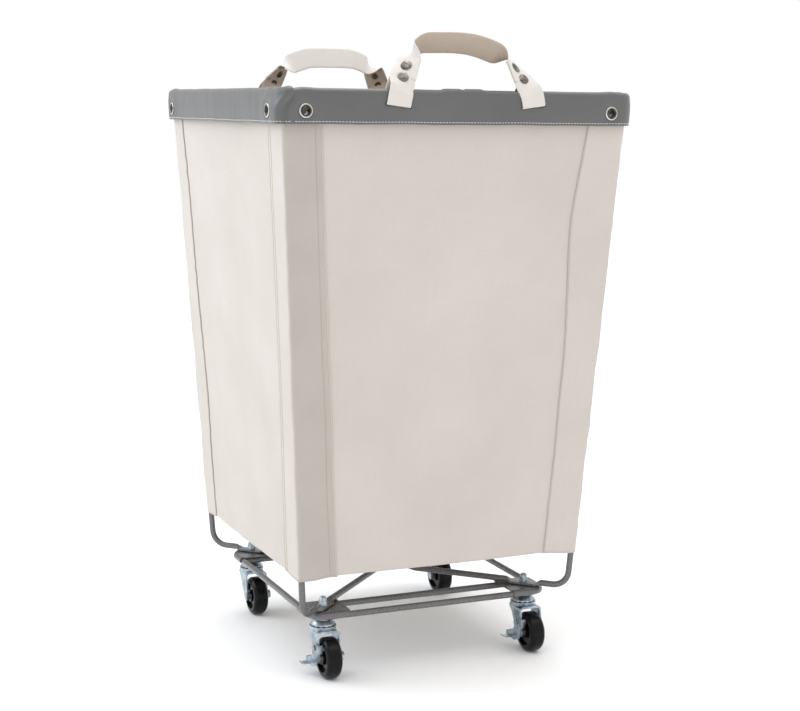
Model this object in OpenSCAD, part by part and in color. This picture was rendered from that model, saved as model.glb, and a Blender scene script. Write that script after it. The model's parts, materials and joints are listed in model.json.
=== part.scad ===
// Canvas laundry hamper on casters: a tapered canvas bag hangs from a rim wire in a vinyl
// binding, on two crossed U-shaped rods that are bolted to a low rod base with four casters.
// The origin is on the floor under the middle of the bag; the front is at -Y.

/* [Bag] */
// Half of the outer width of the vinyl rim, the same on all four sides
rim_half = 228.6; // [210:0.2:262]
// Height of the top of the rim above the floor
rim_top = 709; // [620:1:780]
// Height of the vinyl band that binds the rim
binding_drop = 39.7; // [37:0.1:46]
// Height of the lower end of the corner sleeves above the floor
bag_bottom = 133.3; // [128:0.1:165]
// Half of the outer width of the bag at its lower end
bag_bottom_half = 187.5; // [172:0.1:196]
// Half of the outer width of the bag just under the binding
bag_top_half = 220.3; // [205:0.1:221.5]
// Thickness of the canvas
canvas_t = 1; // [0.8:0.1:1.2]
// Width of each wing of the canvas sleeve that covers a corner rod
sleeve_wing = 48; // [42:1:60]

/* [Handles] */
// Width of the handle straps
strap_w = 30; // [25:1:34]
// Thickness of one layer of strap
strap_t = 1.5; // [1.2:0.1:1.6]
// Distance from the middle of a handle to the middle of each of its feet
foot_x = 82; // [75:1:100]
// Length of the front handle from the fold line of the strap to its grip
front_grip_u = 56; // [51:1:68]
// Length of the rear handle from the fold line of the strap to its grip
rear_grip_u = 45; // [44:1:62]
// Angle by which the front handle leans in over the bag at rest
front_lean = 28; // [10:1:40]
// Angle by which the rear handle leans in over the bag at rest
rear_lean = 24; // [10:1:40]
// Sideways offset of the front handle from the middle of the rim
handle_shift = 3; // [0:1:8]

/* [Frame] */
// Diameter of the frame rods
rod_d = 7.9; // [6.5:0.1:8.2]
// Half of the distance between the middles of opposite sides of the base ring
ring_half = 157.6; // [156:0.2:160]
// Height of the middle of the base ring above the floor
ring_z = 76.2; // [75.4:0.2:77]
// Half of the distance between neighbouring caster bolts
bolt_half = 138.3; // [137:0.1:140]
// Half of the distance between the two inner cross rods
cross_half = 114; // [112:0.5:116]

/* [Casters] */
// Diameter of the wheels
wheel_d = 50.8; // [50:0.1:51]
// Width of the wheels
wheel_w = 20; // [17:0.5:21]
// Distance from a swivel axis back to its wheel's axle
trail = 21.5; // [20:0.5:22]
// Thickness of the fork's sheet steel
fork_t = 2; // [1.5:0.1:2.5]

/* [Hidden] */
$fn = 64;

eps = 0.01;
canvas_colour = "#e4dccf";
vinyl_colour = "#747678";
rod_colour = "#77787b";
zinc_colour = "#bcc5cc";
nickel_colour = "#a3a19b";
black_colour = "#17171a";

// Casters stand at the four corners: [x side, y side]
FL = [-1, -1];
FR = [1, -1];
RL = [-1, 1];
RR = [1, 1];
CORNERS = [FL, FR, RL, RR];

// Rods
rod_r = rod_d / 2;
rod_gap = 0.25;
fit_gap = 0.05;

// Taper of the bag: how far each side moves out for each mm of height
binding_bottom = rim_top - binding_drop;
taper = (bag_top_half - bag_bottom_half) / (binding_bottom - bag_bottom);
taper_angle = atan(taper);
edge_angle = atan(taper * sqrt(2));
function bag_half(z) = bag_bottom_half + (z - bag_bottom) * taper;
// Half distance of the corner rods' middles, which lie inside the sleeves
pocket_r = rod_r + rod_gap;
sleeve_r = pocket_r + canvas_t;
function rod_half(z) = bag_half(z) - sleeve_r;

// Binding: a folded vinyl channel over the rim wire
binding_t = 1.2;
channel_w = 9.4;
channel_r = channel_w / 2 + binding_t;
rim_cut = 2 * channel_r + 6;
wire_r = 3.6;
wire_half = rim_half - channel_r;
wire_z = rim_top - channel_r;
wire_corner_r = 14.5;
bag_top = rim_top - 14.5;
layer_gap = 0.1;
corner_block = 120;

// Eyelets
eyelet_x = 195;
eyelet_z = rim_top - 25;
eyelet_hole_r = 4.1;
eyelet_tube_r = 5;
eyelet_flange_r = 8.3;

// Handles
loop_x = 86;
loop_in_r = channel_r + 0.25;
loop_out_r = loop_in_r + strap_t;
slot_z = rim_top - 19.2;
slot_gap = 0.3;
fold_z = rim_top + 4;
leg_lean = 27;
grip_bend_r = 25;
leg_twist = 40;
leg_twist_u = 30;
grip_twist = 113;
front_tail_u = 34;
rear_tail_u = 29;
front_rivet_u = [10, 25];
rear_rivet_u = [8, 21];
rivet_cap_r = 6.5;
rivet_hole_r = 1.9;
rivet_shank_r = 1.6;
foot_u = 0.4;
foot_spare = 9;
cap_reach = 5.8;
hole_reach = 2.6;
flat_half = 7;

// Base
ring_corner_r = 20.7;
ring_top = ring_z + rod_r;
plate_t = 1.4;
plate_under = ring_top + rod_gap;
plate_top = plate_under + plate_t;
plate_in = 110;
lip_r = rod_r + rod_gap + plate_t;
flat_t = 3;
flat_w = 15.6;
flat_l = 32;
flat_under = plate_top + 0.1;
flat_top = flat_under + flat_t;
u_rod_z = flat_under + rod_r + 0.2;
u_bend_r = 20.7;
bow_flat = 14;
bow_run = 34;
bow_steps = 8;
press_run = 7;
bend_steps = 10;
rod_sides = 28;
pressed_power = 0.45;
bolt_r = 3.17;
bolt_hole_r = 3.5;
bolt_diag = bolt_half * sqrt(2);

// Casters
wheel_r = wheel_d / 2;
tread_r = 6;
leg_in = 13;
leg_out = leg_in + fork_t;
fork_under = 55;
fork_top = 57.6;
race_ball_r = 2;
race_ring_r = 12;
race_ball_z = 61.3;
race_gap_z = [60.7, 61.9];
cup_top = 69.5;
kingpin_r = 4;
run_gap = 0.06;
axle_r = 3;
bush_r = 5;
brake_y = -18;
brake_z = 38.5;
brake_in = leg_out + 1.4;
brake_t = 1.6;
brake_pin_r = 2;

// ---------- helpers ----------

// Rod along +X from x0 to x1
module rod_x(x0, x1, r = rod_r) {
  translate([x0, 0, 0]) rotate([0, 90, 0]) cylinder(r = r, h = x1 - x0);
}

// Square ring of round rod with rounded corners
module rod_ring(half, corner_r, r) {
  side = half - corner_r;
  for (i = [0:3]) rotate([0, 0, 90 * i]) {
    translate([-side, -half, 0]) rotate([0, 90, 0]) cylinder(r = r, h = 2 * side);
    translate([side, -side, 0]) rotate([0, 0, -90]) rotate_extrude(angle = 90)
      translate([corner_r, 0]) circle(r = r);
  }
}

// Puts children at a corner, turned so that they can be drawn for the front left one
module at_corner(c) {
  turn = c == FL ? 0 : c == FR ? 90 : c == RR ? 180 : 270;
  rotate([0, 0, turn]) children();
}

// Puts children at a caster's swivel axis, unturned
module at_caster(c) {
  translate([c[0] * bolt_half, c[1] * bolt_half, 0]) children();
}

// Closed solid through a row of rings with the same number of points
module tube_mesh(rings) {
  n = len(rings[0]);
  last = len(rings) - 1;
  sides = [for (k = [0:last - 1], j = [0:n - 1]) let (a = k * n + j, b = k * n + (j + 1) % n)
    each [[a, b, b + n], [a, b + n, a + n]]];
  ends = [[for (j = [n - 1:-1:0]) j], [for (j = [0:n - 1]) last * n + j]];
  polyhedron(points = [for (r = rings) each r], faces = concat(sides, ends));
}

// ---------- rim ----------

module rim_wire() {
  end_gap = 1;
  color(rod_colour) difference() {
    translate([0, 0, wire_z]) rod_ring(wire_half, wire_corner_r, wire_r);
    // the two ends of the wire meet at the middle of the front
    translate([-end_gap / 2, -wire_half - channel_r, wire_z - channel_r])
      cube([end_gap, 2 * channel_r, 2 * channel_r]);
  }
}

module rim_wire_ferrule() {
  ferrule_l = 50;
  color(zinc_colour) translate([0, -wire_half, wire_z]) difference() {
    rod_x(-ferrule_l / 2, ferrule_l / 2, channel_w / 2 - fit_gap);
    rod_x(-ferrule_l / 2 - 1, ferrule_l / 2 + 1, wire_r + fit_gap);
  }
}

// Cross-section of the channel: x is the distance out from the wire's middle, y the height
module channel_profile(r) {
  circle(r = r);
  translate([-r, -(wire_z - binding_bottom) - (r < channel_r ? 1 : 0)])
    square([2 * r, wire_z - binding_bottom + (r < channel_r ? 1 : 0)]);
}

module channel_run(r) {
  side = wire_half - wire_corner_r;
  for (i = [0:3]) rotate([0, 0, 90 * i]) {
    translate([-side, -wire_half, wire_z]) rotate([90, 0, 90])
      linear_extrude(2 * side) channel_profile(r);
    translate([side, -side, wire_z]) rotate([0, 0, -90])
      rotate_extrude(angle = 90) translate([wire_corner_r, 0]) channel_profile(r);
  }
}

module eyelet_holes(r) {
  for (i = [0:3], s = [-1, 1]) rotate([0, 0, 90 * i])
    translate([s * eyelet_x, -rim_half - 2, eyelet_z]) rotate([-90, 0, 0])
      cylinder(r = r, h = rim_cut);
}

module handle_slots() {
  slot_w = strap_w + 2;
  for (rear = [0, 1], s = [-1, 1]) rotate([0, 0, 180 * rear])
    translate([(1 - rear) * handle_shift + s * loop_x - slot_w / 2, -rim_half - 2, slot_z - slot_gap])
      cube([slot_w, rim_cut, strap_t + 2 * slot_gap]);
}

// Room in the inner leaf at each corner for the corner rod in its sleeve
module corner_ways() {
  leaf_low = binding_bottom - 1;
  for (c = CORNERS) at_corner(c) intersection() {
    along_corner() offset(delta = 0.3) hull() {
      circle(r = sleeve_r);
      sleeve_web();
    }
    translate([-rim_half, -rim_half, leaf_low])
      cube([corner_block, corner_block, wire_z - wire_r - leaf_low]);
  }
}

module rim_binding() {
  color(vinyl_colour) difference() {
    channel_run(channel_r);
    channel_run(channel_w / 2);
    eyelet_holes(eyelet_tube_r + layer_gap);
    handle_slots();
    corner_ways();
  }
}

module corner_eyelets() {
  flange_t = 1;
  color(nickel_colour) for (i = [0:3], s = [-1, 1]) rotate([0, 0, 90 * i])
    translate([s * eyelet_x, -rim_half, eyelet_z]) rotate([-90, 0, 0]) difference() {
      union() {
        translate([0, 0, -flange_t]) cylinder(r = eyelet_flange_r, h = flange_t);
        translate([0, 0, -flange_t]) cylinder(r = eyelet_tube_r, h = 2 * channel_r + 2 * flange_t);
        translate([0, 0, 2 * channel_r]) cylinder(r = eyelet_flange_r, h = flange_t);
      }
      translate([0, 0, -flange_t - 1]) cylinder(r = eyelet_hole_r, h = rim_cut);
    }
}

// ---------- bag ----------

// The four walls lie just inside the corner sleeves, and stop short of the corner rods
module wall(turn) {
  edge_in = sleeve_r + 11.5;
  face = bag_half(bag_bottom) - 2 * canvas_t - layer_gap;
  hem_rise = 4;
  wall_bottom = bag_bottom + hem_rise;
  z_len = (bag_top - bag_bottom) / cos(taper_angle);
  low = hem_rise / cos(taper_angle);
  color(canvas_colour) difference() {
    rotate([0, 0, turn]) translate([0, -face, bag_bottom]) rotate([90 + taper_angle, 0, 0])
      linear_extrude(canvas_t) polygon([
        [-bag_half(wall_bottom) + edge_in, low], [bag_half(wall_bottom) - edge_in, low],
        [bag_half(bag_top) - edge_in, z_len], [-bag_half(bag_top) + edge_in, z_len]]);
    eyelet_holes(eyelet_tube_r + layer_gap);
    handle_slots();
  }
}

module front_panel() wall(0);
module right_panel() wall(90);
module back_panel() wall(180);
module left_panel() wall(270);

module bottom_panel() {
  floor_z = bag_bottom + 5;
  wall_gap = 0.4;
  half = bag_half(floor_z) - 3 * canvas_t - layer_gap - wall_gap;
  cut = sleeve_r + 14;
  color(canvas_colour) translate([0, 0, floor_z]) linear_extrude(canvas_t) polygon([
    [-half + cut, -half], [half - cut, -half], [half, -half + cut], [half, half - cut],
    [half - cut, half], [-half + cut, half], [-half, half - cut], [-half, -half + cut]]);
}

// Extrudes an outline drawn round a rod's middle along the front left edge of the bag
module along_corner() {
  overrun = 12;
  z_len = (bag_top - bag_bottom) / cos(edge_angle);
  start = rod_half(bag_bottom);
  translate([-start, -start, bag_bottom]) rotate(a = edge_angle, v = [1, -1, 0])
    translate([0, 0, -overrun]) linear_extrude(z_len + 2 * overrun) children();
}

// Web of a sleeve, which runs from wing to wing behind the rod
module sleeve_web() {
  near = pocket_r * (sqrt(2) + 1);
  far = near + canvas_t * sqrt(2);
  polygon([[near, -pocket_r], [far, -pocket_r], [-pocket_r, far], [-pocket_r, near]]);
}

// Outline of a sleeve round the rod's middle: two wings, a round nose and a web
module sleeve_profile() {
  wing = sleeve_wing - sleeve_r;
  difference() {
    union() {
      circle(r = sleeve_r);
      translate([0, -sleeve_r]) square([wing, canvas_t]);
      translate([-sleeve_r, 0]) square([canvas_t, wing]);
    }
    circle(r = pocket_r);
    polygon([[0, -pocket_r], [wing, -pocket_r], [-pocket_r, wing], [-pocket_r, 0]]);
  }
  sleeve_web();
}

module sleeve(c) {
  color(canvas_colour) difference() {
    at_corner(c) intersection() {
      along_corner() sleeve_profile();
      translate([-rim_half, -rim_half, bag_bottom])
        cube([corner_block, corner_block, bag_top - bag_bottom]);
    }
    eyelet_holes(eyelet_tube_r + layer_gap);
  }
}

module corner_sleeve_fl() sleeve(FL);
module corner_sleeve_fr() sleeve(FR);
module corner_sleeve_rl() sleeve(RL);
module corner_sleeve_rr() sleeve(RR);

// ---------- frame ----------

// Stations along half of a U rod, from its middle out along +X, past the bolt, round and up.
// Each is [x, z, direction, half width, half height]. With a rise, the middle bows over a rod.
function bow_stations(rise) = [for (k = [0:bow_steps]) let (t = k / bow_steps)
  [bow_flat + bow_run * t, u_rod_z + rise * (1 - smooth(t)), -atan(6 * t * (1 - t) * rise / bow_run),
    rod_r, rod_r]];
// The rod is pressed flat at the bolt
function press_stations() = let (z = flat_under + flat_t / 2, x = bolt_diag, l = flat_l / 2)
  [[x - l - press_run, u_rod_z, 0, rod_r, rod_r], [x - l, z, 0, flat_w / 2, flat_t / 2],
    [x + l, z, 0, flat_w / 2, flat_t / 2], [x + l + press_run, u_rod_z, 0, rod_r, rod_r]];
function bend_stations() = let (z = u_rod_z + u_bend_r,
  x = rod_half(z) * sqrt(2) - u_bend_r / cos(edge_angle), last = 90 - edge_angle)
  [for (k = [0:bend_steps]) let (a = last * k / bend_steps)
    [x + u_bend_r * sin(a), z - u_bend_r * cos(a), a, rod_r, rod_r]];
function top_station() = let (z = wire_z - wire_r - 1)
  [[rod_half(z) * sqrt(2), z, 90 - edge_angle, rod_r, rod_r]];
function half_stations(rise) = concat(rise > 0 ? bow_stations(rise) : [], press_stations(),
  bend_stations(), top_station());
function far_station(s) = [-s[0], s[1], -s[2], s[3], s[4]];

// A pressed section is a rounded rectangle: the power squares up the circle
function swell(v, power) = sign(v) * pow(abs(v), power);
function rod_section(s) = let (power = s[3] > rod_r ? pressed_power : 1)
  [for (j = [0:rod_sides - 1]) let (t = 360 * j / rod_sides, up = s[4] * swell(sin(t), power))
    [s[0] - up * sin(s[2]), s[3] * swell(cos(t), power), s[1] + up * cos(s[2])]];

module u_rod(turn, rise) {
  half = half_stations(rise);
  stations = concat([for (k = [len(half) - 1:-1:0]) far_station(half[k])], half);
  color(rod_colour) rotate([0, 0, turn]) difference() {
    tube_mesh([for (s = stations) rod_section(s)]);
    for (s = [-1, 1]) translate([s * bolt_diag, 0, flat_under - 5])
      cylinder(r = bolt_hole_r, h = 20);
  }
}

module u_rod_fl_rr() u_rod(45, 0);
module u_rod_fr_rl() u_rod(135, rod_d + 0.4);

module base_ring() {
  color(rod_colour) translate([0, 0, ring_z]) rod_ring(ring_half, ring_corner_r, rod_r);
}

module cross_rod(side) {
  end_gap = 0.2;
  reach = ring_half - rod_r - end_gap;
  color(rod_colour) translate([0, side * cross_half, ring_z]) rod_x(-reach, reach);
}

module front_cross_rod() cross_rod(-1);
module rear_cross_rod() cross_rod(1);

// Rolled edge of a corner plate round the outside of the ring
module lip_profile() {
  difference() {
    circle(r = lip_r);
    circle(r = lip_r - plate_t);
    translate([-2 * lip_r, -2 * lip_r]) square([2 * lip_r, 4 * lip_r]);
    translate([-lip_r, -2 * lip_r]) square([3 * lip_r, 2 * lip_r - 2]);
  }
}

module corner_plate(c) {
  inner = ring_half - ring_corner_r;
  run = inner - plate_in - 3;
  color(rod_colour) at_corner(c) difference() {
    union() {
      translate([0, 0, plate_under]) {
        translate([-ring_half, -inner, 0]) cube([ring_half - plate_in, inner - plate_in, plate_t]);
        translate([-inner, -ring_half, 0]) cube([inner - plate_in, ring_half - plate_in, plate_t]);
        translate([-inner, -inner, 0]) cylinder(r = ring_corner_r, h = plate_t);
      }
      translate([-inner, -inner, ring_z]) rotate([0, 0, 180]) rotate_extrude(angle = 90)
        translate([ring_corner_r, 0]) lip_profile();
      translate([-inner + run, -ring_half, ring_z]) rotate([90, 0, -90])
        linear_extrude(run) lip_profile();
      translate([-ring_half, -inner, ring_z]) rotate([90, 0, 180])
        linear_extrude(run) lip_profile();
    }
    translate([-bolt_half, -bolt_half, plate_under - 1]) cylinder(r = bolt_hole_r, h = plate_t + 2);
  }
}

module corner_plate_fl() corner_plate(FL);
module corner_plate_fr() corner_plate(FR);
module corner_plate_rl() corner_plate(RL);
module corner_plate_rr() corner_plate(RR);

module cap_nuts() {
  across_flats = 10;
  hex_h = 5.5;
  dome_r = 4.6;
  nut_h = 12;
  color(zinc_colour) for (c = CORNERS) at_caster(c) translate([0, 0, flat_top + fit_gap]) difference() {
    union() {
      cylinder(r = across_flats / sqrt(3), h = hex_h, $fn = 6);
      cylinder(r = dome_r, h = nut_h - dome_r);
      translate([0, 0, nut_h - dome_r]) sphere(r = dome_r);
    }
    translate([0, 0, -1]) cylinder(r = bolt_r + fit_gap, h = 10);
  }
}

// ---------- handles ----------

module loop_profile(r, bottom) {
  circle(r = r);
  translate([-r, bottom - wire_z]) square([2 * r, wire_z - bottom]);
}

module handle_loops(rear) {
  shift = rear ? 0 : handle_shift;
  color(canvas_colour) rotate([0, 0, rear ? 180 : 0]) for (s = [-1, 1])
    translate([shift + s * loop_x - strap_w / 2, -wire_half, wire_z]) rotate([90, 0, 90])
      linear_extrude(strap_w) difference() {
        loop_profile(loop_out_r, slot_z);
        loop_profile(loop_in_r, slot_z + strap_t);
      }
}

module front_handle_loops() handle_loops(false);
module rear_handle_loops() handle_loops(true);

// Rows along a strap from its foot to the middle of the grip: [x, height, slope, twist, twist of
// the middle]. The slope is 90 where the strap rises straight up and 0 along the grip. The middle
// of the strap lies flat round each rivet, while its edges twist evenly.
function smooth(t) = t * t * (3 - 2 * t);
function twist_at(u) = leg_twist * max(0, min(1, (u - foot_u) / leg_twist_u));
function leg_row(u, flat_u) = [foot_x - (u - foot_u) * tan(leg_lean), u, 90 - leg_lean,
  twist_at(u), twist_at(flat_u)];
function bend_rows(grip_u) = let (slope = 90 - leg_lean, steps = 10,
  start_u = grip_u - grip_bend_r * (1 - cos(slope)), start = leg_row(start_u, start_u))
  [for (k = [0:steps]) let (b = slope * (1 - k / steps),
    twist = start[3] + (grip_twist - start[3]) * smooth(k / steps))
    [start[0] - grip_bend_r * (sin(slope) - sin(b)), grip_u - grip_bend_r * (1 - cos(b)), b,
      twist, twist]];
function tail_rows(tail_u, rivets) = concat([leg_row(-foot_spare, 0), leg_row(foot_u, foot_u)],
  [for (r = rivets, d = [-cap_reach, -hole_reach, hole_reach, cap_reach]) leg_row(r + d, r)],
  [leg_row(tail_u, tail_u)]);
function flip_row(r) = [-r[0], r[1], -r[2], r[3], r[4]];

// Direction out of a strap's outer face and across it, from its slope and twist
function row_out(slope, twist) = [sin(twist) * sin(slope), -cos(twist), sin(twist) * cos(slope)];
function row_across(slope, twist) = cross([cos(slope), 0, -sin(slope)], row_out(slope, twist));
function row_point(r, a, n) = let (mid = max(-flat_half, min(flat_half, a)),
  twist = abs(a) > flat_half ? r[3] : r[4])
  [r[0], 0, r[1]] + mid * row_across(r[2], r[4]) + (a - mid) * row_across(r[2], r[3])
    + n * row_out(r[2], twist);
function row_ring(r, low) = let (edge = strap_w / 2, line = [edge, flat_half, -flat_half, -edge])
  concat([for (a = line) row_point(r, a, strap_t)], [for (a = line) row_point(r, -a, low)]);

// One strap from foot to foot; it is doubled as far as the riveted tails reach, and its feet
// are cut level
module strap_strip(grip_u, tail_u, rivets) {
  tails = tail_rows(tail_u, rivets);
  single_u = tail_u + 0.4;
  single = concat([leg_row(single_u, single_u)], bend_rows(grip_u));
  reach = 2 * foot_x;
  difference() {
    tube_mesh(concat([for (r = tails) row_ring(r, -strap_t)], [for (r = single) row_ring(r, 0)],
      [for (k = [len(single) - 1:-1:0]) row_ring(flip_row(single[k]), 0)],
      [for (k = [len(tails) - 1:-1:0]) row_ring(flip_row(tails[k]), -strap_t)]));
    translate([-reach, -reach, foot_u - reach]) cube([2 * reach, 2 * reach, reach]);
  }
}

// Turns a handle drawn upright on its fold line into place
module handle_place(rear) {
  rotate([0, 0, rear ? 180 : 0]) translate([rear ? 0 : handle_shift, -wire_half, fold_z])
    rotate([rear ? -rear_lean : -front_lean, 0, 0]) children();
}

// Places children at each rivet, with +Z out of the strap's outer face
module at_rivets(rear) {
  for (m = [0, 1], u = rear ? rear_rivet_u : front_rivet_u) mirror([m, 0, 0]) {
    r = leg_row(u, u);
    w = row_across(r[2], r[4]);
    n = row_out(r[2], r[4]);
    t = cross(w, n);
    multmatrix([[w[0], -t[0], n[0], r[0]], [w[1], -t[1], n[1], 0], [w[2], -t[2], n[2], r[1]]])
      children();
  }
}

module handle_strap(rear) {
  color(canvas_colour) handle_place(rear) difference() {
    strap_strip(rear ? rear_grip_u : front_grip_u, rear ? rear_tail_u : front_tail_u,
      rear ? rear_rivet_u : front_rivet_u);
    at_rivets(rear) translate([0, 0, -5]) rotate(20) cylinder(r = rivet_hole_r, h = 10, $fn = 12);
  }
}

module front_handle_strap() handle_strap(false);
module rear_handle_strap() handle_strap(true);

// Double cap rivets: a domed cap outside, a shank, and a small round back with a dimple
module handle_rivets(rear) {
  cap_edge = 0.8;
  dome_h = 1.2;
  ball_r = (rivet_cap_r * rivet_cap_r + dome_h * dome_h) / (2 * dome_h);
  back_r = 4.6;
  color(nickel_colour) handle_place(rear) at_rivets(rear) {
    difference() {
      union() {
        translate([0, 0, strap_t + fit_gap]) cylinder(r = rivet_cap_r, h = cap_edge);
        translate([0, 0, strap_t + fit_gap + cap_edge]) intersection() {
          cylinder(r = rivet_cap_r, h = dome_h);
          translate([0, 0, dome_h - ball_r]) sphere(r = ball_r);
        }
        translate([0, 0, -strap_t - 0.5]) cylinder(r = rivet_shank_r, h = 2 * strap_t + 1);
        translate([0, 0, -strap_t - 1.05]) cylinder(r = back_r, h = 1);
      }
      translate([0, 0, -strap_t - 2]) cylinder(r = 1.1, h = 2);
    }
  }
}

module front_handle_rivets() handle_rivets(false);
module rear_handle_rivets() handle_rivets(true);

// ---------- casters ----------

// Threaded stem with a hexagon under the plate, and a kingpin peened under the fork
module caster_stems() {
  hex_af = 14;
  hex_z = cup_top + 0.1;
  peen_h = 2.5;
  color(zinc_colour) for (c = CORNERS) at_caster(c) {
    translate([0, 0, plate_under - 1]) cylinder(r = bolt_r, h = flat_top + 8 - plate_under + 1);
    translate([0, 0, hex_z]) cylinder(r = hex_af / sqrt(3), h = plate_under - 0.1 - hex_z, $fn = 6);
    translate([0, 0, fork_under - 0.4]) cylinder(r = kingpin_r, h = hex_z - fork_under + 1);
    translate([0, 0, fork_under - 0.4 - peen_h]) cylinder(r = 6.5, h = peen_h);
  }
}

module ball_groove(z) {
  translate([0, 0, z]) rotate_extrude() translate([race_ring_r, 0]) circle(r = race_ball_r + 0.1);
}

module upper_races() {
  base_z = race_gap_z[1];
  color(zinc_colour) for (c = CORNERS) at_caster(c) difference() {
    union() {
      translate([0, 0, base_z]) cylinder(r = 14.8, h = 1.6);
      translate([0, 0, base_z + 1.6]) cylinder(r1 = 14.2, r2 = 11, h = cup_top - base_z - 2.6);
      translate([0, 0, cup_top - 1]) cylinder(r = 10.4, h = 1);
    }
    translate([0, 0, base_z - 1]) cylinder(r = kingpin_r + fit_gap, h = cup_top);
    ball_groove(race_ball_z);
  }
}

module balls(c) {
  ball_count = 12;
  color(nickel_colour) at_caster(c) for (k = [0:ball_count - 1])
    rotate([0, 0, 360 * k / ball_count]) translate([race_ring_r, 0, race_ball_z])
      sphere(r = race_ball_r);
}

module balls_fl() balls(FL);
module balls_fr() balls(FR);
module balls_rl() balls(RL);
module balls_rr() balls(RR);

// Side view of the fork: x is along the caster (-x trails), y is height
module fork_side_profile() {
  boss_r = 6;
  translate([-trail, wheel_r]) circle(r = boss_r);
  polygon([[11.4, fork_top], [-21, fork_top], [-22.5, 45], [-trail - boss_r, wheel_r],
    [-trail, wheel_r - 1], [-trail + 4.5, 21.6], [-5, 35], [3.2, 48], [9, 53]]);
}

// Front view of the fork: legs and crown bent from one strip, with rounded shoulders
module fork_front_profile() {
  shoulder_r = 5;
  difference() {
    union() {
      translate([-leg_out, 0]) square([2 * leg_out, fork_top - shoulder_r]);
      translate([-leg_out + shoulder_r, 0]) square([2 * (leg_out - shoulder_r), fork_top]);
      for (s = [-1, 1]) translate([s * (leg_out - shoulder_r), fork_top - shoulder_r])
        circle(r = shoulder_r);
    }
    translate([-leg_in, -1]) square([2 * leg_in, fork_under - shoulder_r + fork_t + 1]);
    translate([-leg_in + shoulder_r - fork_t, -1])
      square([2 * (leg_in - shoulder_r + fork_t), fork_under + 1]);
    for (s = [-1, 1]) translate([s * (leg_out - shoulder_r), fork_under - shoulder_r + fork_t])
      circle(r = shoulder_r - fork_t);
  }
}

module fork(c, braked) {
  color(zinc_colour) at_caster(c) difference() {
    union() {
      intersection() {
        translate([-leg_out - 1, 0, 0]) rotate([90, 0, 90])
          linear_extrude(2 * leg_out + 2) fork_side_profile();
        translate([0, 20, 0]) rotate([90, 0, 0]) linear_extrude(60) fork_front_profile();
      }
      translate([0, 0, fork_top - 1]) cylinder(r = 16.4, h = race_gap_z[0] - fork_top + 1);
    }
    translate([0, 0, fork_under - 1]) cylinder(r = kingpin_r + run_gap, h = 10);
    ball_groove(race_ball_z);
    translate([-leg_out - 1, -trail, wheel_r]) rotate([0, 90, 0])
      cylinder(r = axle_r + fit_gap, h = 2 * leg_out + 2);
    if (braked) translate([-leg_out - 1, brake_y, brake_z]) rotate([0, 90, 0])
      cylinder(r = brake_pin_r + fit_gap, h = fork_t + 2);
  }
}

module fork_fl() fork(FL, true);
module fork_fr() fork(FR, true);
module fork_rl() fork(RL, false);
module fork_rr() fork(RR, false);

module axle(c) {
  head_r = 4.6;
  color(zinc_colour) at_caster(c) translate([0, -trail, wheel_r]) {
    rod_x(-leg_out - 0.5, leg_out + 4, axle_r);
    translate([-leg_out - 1.1, 0, 0]) rod_x(0, 1.05, head_r);
    translate([leg_out + 0.05, 0, 0]) rotate([0, 90, 0])
      cylinder(r = 10 / sqrt(3), h = 3.5, $fn = 6);
  }
}

module axle_fl() axle(FL);
module axle_fr() axle(FR);
module axle_rl() axle(RL);
module axle_rr() axle(RR);

module wheel(c) {
  band = wheel_w - 2 * tread_r;
  recess = 3.5;
  color(black_colour) at_caster(c) translate([0, -trail, wheel_r]) rotate([0, 90, 0]) difference() {
    union() {
      translate([0, 0, -wheel_w / 2]) cylinder(r = wheel_r - tread_r, h = wheel_w);
      translate([0, 0, -band / 2]) cylinder(r = wheel_r, h = band);
      for (s = [-1, 1]) translate([0, 0, s * band / 2]) rotate_extrude()
        translate([wheel_r - tread_r, 0]) circle(r = tread_r);
    }
    for (s = [-1, 1]) translate([0, 0, s * (wheel_w / 2 - recess / 2 + eps)]) difference() {
      cylinder(r = 17.5, h = recess + 2 * eps, center = true);
      cylinder(r = 8, h = recess + 1, center = true);
    }
    cylinder(r = bush_r, h = wheel_w + 2, center = true);
  }
}

module wheel_fl() wheel(FL);
module wheel_fr() wheel(FR);
module wheel_rl() wheel(RL);
module wheel_rr() wheel(RR);

module bush(c) {
  color(nickel_colour) at_caster(c) translate([0, -trail, wheel_r]) difference() {
    rod_x(-leg_in + 0.5, leg_in - 0.5, bush_r - 0.03);
    rod_x(-leg_in - 1, leg_in + 1, axle_r + run_gap);
  }
}

module bush_fl() bush(FL);
module bush_fr() bush(FR);
module bush_rl() bush(RL);
module bush_rr() bush(RR);

module brake_rivet(c) {
  head_r = 3.4;
  color(zinc_colour) at_caster(c) translate([0, brake_y, brake_z]) {
    rod_x(-brake_in - brake_t - 1, -leg_in, brake_pin_r);
    rod_x(-brake_in - brake_t - 1.5, -brake_in - brake_t - 0.4, head_r);
    rod_x(-brake_in + 0.3, -leg_out - fit_gap, head_r);
  }
}

module brake_rivet_fl() brake_rivet(FL);
module brake_rivet_fr() brake_rivet(FR);

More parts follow.
